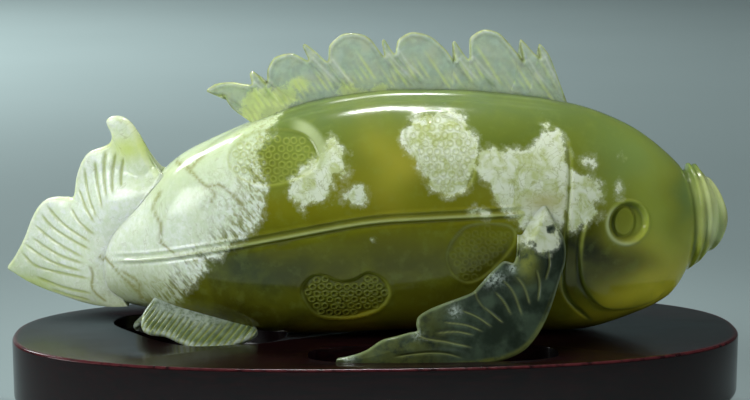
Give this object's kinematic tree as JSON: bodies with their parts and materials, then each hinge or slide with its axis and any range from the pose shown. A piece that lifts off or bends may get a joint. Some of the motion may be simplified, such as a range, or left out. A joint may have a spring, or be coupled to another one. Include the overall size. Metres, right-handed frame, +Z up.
{
  "type": "fish figurine on stand",
  "caption": "Carved stone fish with a scalloped back fin and fanned tail, resting by its belly and fins in the shaped hollows of a low oval wooden stand.",
  "frame": {"origin": "middle of the whole object's footprint, on the surface that the felt pads rest on", "axes": "+X along the board towards the fish's head, +Z up, +Y towards the fish's left side"},
  "size_m": [0.3112, 0.13, 0.1645],
  "materials": {
    "jade_body": "polished, translucent, olive with white mottling",
    "jade_tail": "polished, milky white with yellow-green edges",
    "jade_dorsal": "polished, nearly clear grey-green",
    "jade_pectoral": "polished, smoky dark grey-green",
    "jade_anal": "polished, pale grey-green",
    "dark_wood": "dark red-brown, high gloss lacquer",
    "dowel_wood": "plain turned wood",
    "felt": "dark green wool felt"
  },
  "bodies": {
    "stand": {"stand_board": "dark_wood", "foot_front_right": "dark_wood", "foot_front_left": "dark_wood", "foot_rear_right": "dark_wood", "foot_rear_left": "dark_wood", "foot_dowel_front_right": "dowel_wood", "foot_dowel_front_left": "dowel_wood", "foot_dowel_rear_right": "dowel_wood", "foot_dowel_rear_left": "dowel_wood", "felt_pad_front_right": "felt", "felt_pad_front_left": "felt", "felt_pad_rear_right": "felt", "felt_pad_rear_left": "felt"},
    "carving": {"fish_body": "jade_body", "tail_fin": "jade_tail", "dorsal_fin": "jade_dorsal", "pectoral_fin_right": "jade_pectoral", "pectoral_fin_left": "jade_pectoral", "anal_fin_right": "jade_anal", "anal_fin_left": "jade_anal"}
  },
  "joints": [
    {"name": "carving_lift", "type": "slide", "parent": "stand", "child": "carving", "axis": [0, 0, 1], "range_m": [0, 0.08]}
  ]
}
